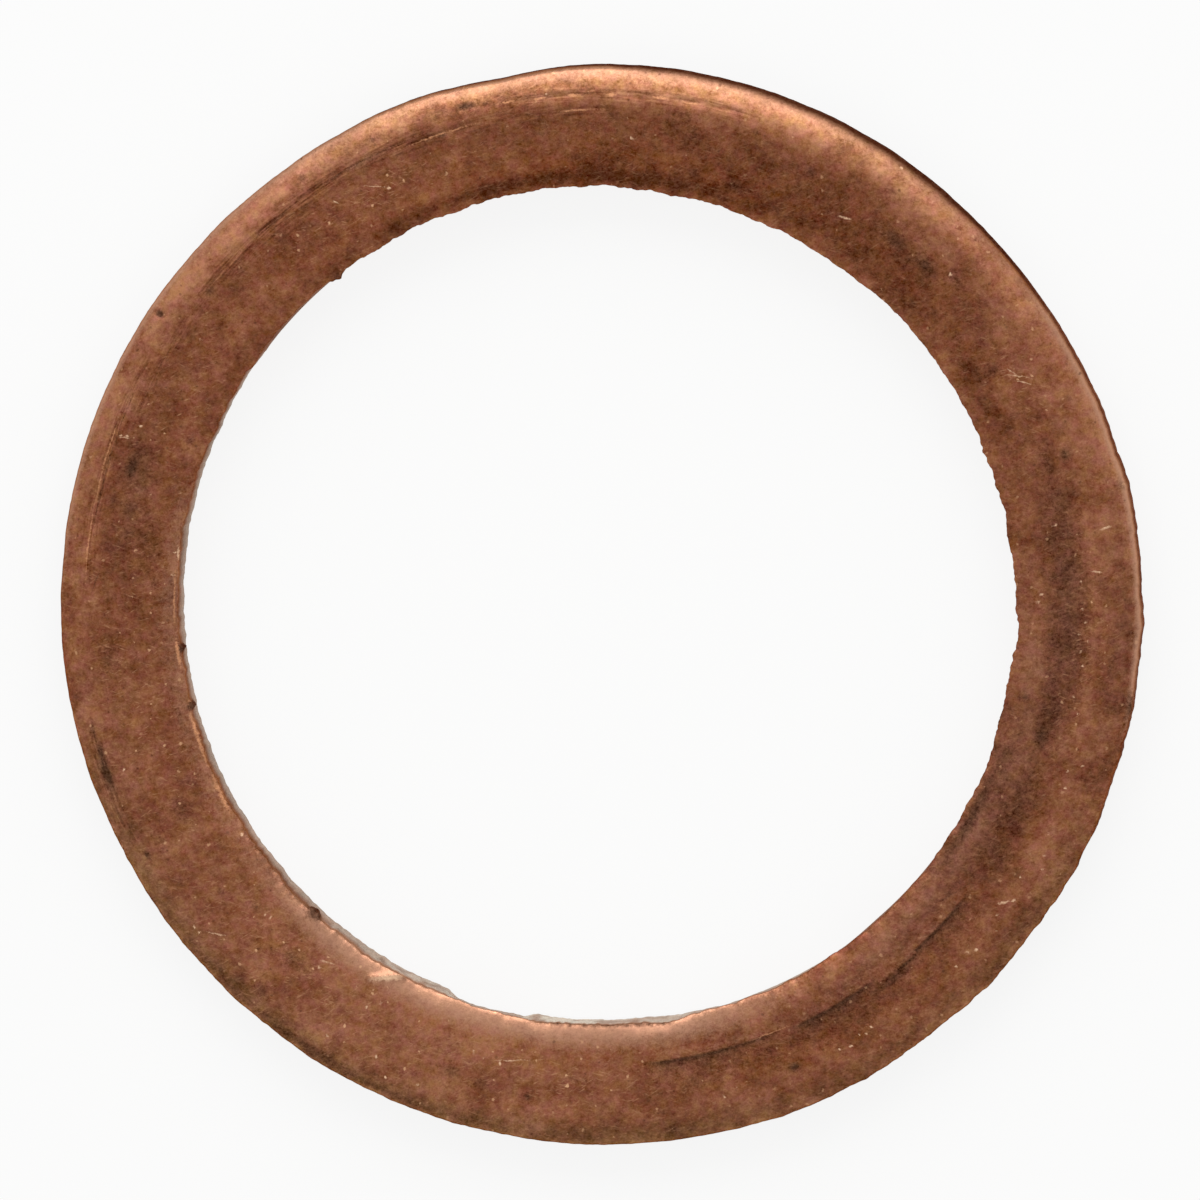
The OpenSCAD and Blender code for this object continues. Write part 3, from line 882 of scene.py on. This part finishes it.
# Layers from the skin upwards: mask, strength, colour
LAYERS = [
    # The rub layer is rubbed metal and painted highlight.
    (hair_mask, 0.65, "#c4906c"), (rub_and_highlight_mask, 0.75, "#c29277"), (dark_nicks, 0.5, "#4a2818"),
    # The dark layer carries dirt and painted shade, and the tan layer rubbed lines and painted highlights.
    (dark_mask, 0.85, "#472f22"), (bright_nicks, 0.90, "#ecb88d"), (tan_and_highlight_mask, 0.9, "#df9f74"),
    (scratch_mask, 0.95, "#ffd2ac"),
    # The film layer is a pale film and a painted reflection of the white paper, and the last layer is painted
    # shade on the outer wall over its darker oxide.
    (film_and_reflection_mask, 1.0, "#d6cfbf"), (paint["outer_wall_oxide_and_shade"], 1.0, "#4e2a19"),
]
colour = skin.outputs[0]
for mask, strength, code in LAYERS:
    share = calc("MULTIPLY", mask, strength)
    layer = add_node(tree, "ShaderNodeMix", {0: share, 6: colour, 7: srgb(code)}, data_type="RGBA")
    colour = layer.outputs[2]
# The finest light and dark is added to the colour, which stays above the darkest brown.
SPECKLE, DARKEST = (0.130, 0.072, 0.047), (0.008, 0.004, 0.002)
STREAKY = 0.35
streaky = calc("MULTIPLY_ADD", hair_sum, STREAKY, -1.5 * STREAKY)
fine_light = calc("ADD", streaky, break_up)
speckled = add_node(
    tree, "ShaderNodeVectorMath", {0: fine_light, 1: SPECKLE, 2: colour}, operation="MULTIPLY_ADD")
colour = add_node(tree, "ShaderNodeVectorMath", {0: speckled, 1: DARKEST}, operation="MAXIMUM")

# %% Copper: gloss, relief and the shader
ROUGH_DARK, ROUGH_LIGHT = 0.47, 0.40
rough = remap(patches, 0.4, 0.6, ROUGH_DARK, ROUGH_LIGHT)
# Places with a gloss of their own: mask, roughness
GLOSSES = [
    (rub_and_highlight_mask, 0.36), (dark_mask, 0.58), (scratch_mask, 0.32),
    (paint["bore_film_and_reflection"], 0.65), (paint["outer_wall_oxide_and_shade"], 0.95),
]
for mask, value in GLOSSES:
    rough = add_node(tree, "ShaderNodeMix", {0: mask, 2: rough, 3: value}, data_type="FLOAT")
GRAIN_HEIGHT = 0.0016
relief = add_node(
    tree, "ShaderNodeBump", {"Height": grain, "Distance": GRAIN_HEIGHT * MM, "Strength": 1.0})
# The pale film and painted reflection on the bore wall is hardly metallic.
metal = calc("MULTIPLY_ADD", paint["bore_film_and_reflection"], -0.85, 1.0)
# The specular tint is the metal's colour at a grazing angle.
surface = add_node(
    tree, "ShaderNodeBsdfPrincipled",
    {"Base Color": colour, "Metallic": metal, "Roughness": rough, "Normal": relief,
     "Specular Tint": srgb("#b0978a")})
add_node(tree, "ShaderNodeOutputMaterial", {"Surface": surface})
ring_mesh.materials.append(copper)
print("copper:", len(tree.nodes), "nodes")

# %% [markdown]
# ## The floor and the light
# The ring lies on white paper. A paper lit only by the lamps would come out grey, so the camera and the
# metal's reflections see a part of it as plain white, and the rest keeps the soft shadow. The light is an
# even room and one wide panel beyond the ring's far edge, which draws the bright lines along the rolled
# edges together with the highlights painted there.

# %% White paper
paper = bpy.data.materials.new("white_paper")
paper.use_nodes = True
tree = paper.node_tree
tree.nodes.clear()
path = add_node(tree, "ShaderNodeLightPath")
seen = calc("MAXIMUM", path.outputs["Is Camera Ray"], path.outputs["Is Glossy Ray"])
seen_through = calc("MAXIMUM", seen, path.outputs["Is Transmission Ray"])
SELF_WHITE = 0.86
share = calc("MULTIPLY", seen_through, SELF_WHITE)
matt = add_node(tree, "ShaderNodeBsdfDiffuse", {"Color": srgb("#dcdcda")})
plain = add_node(tree, "ShaderNodeEmission", {"Color": (1, 1, 1, 1), "Strength": 1.0})
mixed = add_node(tree, "ShaderNodeMixShader", {0: share, 1: matt, 2: plain})
add_node(tree, "ShaderNodeOutputMaterial", {"Surface": mixed})

bm = bmesh.new()
FLOOR_HALF = 600
FLOOR_GAP = 0.01
bmesh.ops.create_grid(bm, x_segments=1, y_segments=1, size=FLOOR_HALF * MM)
bmesh.ops.translate(bm, verts=bm.verts[:], vec=(0, 0, -FLOOR_GAP * MM))
floor_mesh = bpy.data.meshes.new("floor")
bm.to_mesh(floor_mesh)
bm.free()
floor_mesh.materials.append(paper)
floor = bpy.data.objects.new("floor", floor_mesh)
bpy.context.scene.collection.objects.link(floor)

# %% Lamp and the room
ZENITH_LEVEL, HORIZON_LEVEL = 0.68, 0.90
world = bpy.data.worlds.new("room")
bpy.context.scene.world = world
world.use_nodes = True
tree = world.node_tree
view = add_node(tree, "ShaderNodeTexCoord")
view_parts = add_node(tree, "ShaderNodeSeparateXYZ", {0: view.outputs["Generated"]})
level = remap(view_parts.outputs[2], 0, 1, HORIZON_LEVEL, ZENITH_LEVEL)
background = tree.nodes["Background"]
background.inputs["Color"].default_value = srgb("#ffffff")
tree.links.new(level.outputs[0], background.inputs["Strength"])

PANEL_LEAN, PANEL_TOWARDS = math.radians(57), math.radians(268)
PANEL_FAR, PANEL_WIDTH, PANEL_HEIGHT, PANEL_LEVEL = 300, 340, 270, 2.6
direction = Vector((
    math.sin(PANEL_LEAN) * math.cos(PANEL_TOWARDS),
    -math.sin(PANEL_LEAN) * math.sin(PANEL_TOWARDS),
    math.cos(PANEL_LEAN)))
panel_data = bpy.data.lights.new("far_panel", "AREA")
panel_data.shape = "RECTANGLE"
panel_data.size = PANEL_WIDTH * MM
panel_data.size_y = PANEL_HEIGHT * MM
panel_data.energy = PANEL_LEVEL * math.pi * PANEL_WIDTH * PANEL_HEIGHT * MM ** 2
panel = bpy.data.objects.new("far_panel", panel_data)
bpy.context.scene.collection.objects.link(panel)
panel.location = direction * PANEL_FAR * MM
panel.rotation_mode = "QUATERNION"
panel.rotation_quaternion = (-direction).to_track_quat("-Z", "Y")
print(f"panel: {panel_data.energy:.3f} W")

# %% Attach the ring and hide the CAD part
bpy.context.scene.view_settings.view_transform = "Standard"
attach(copper_ring, "root")
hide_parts("copper_washer")
bpy.context.view_layer.update()
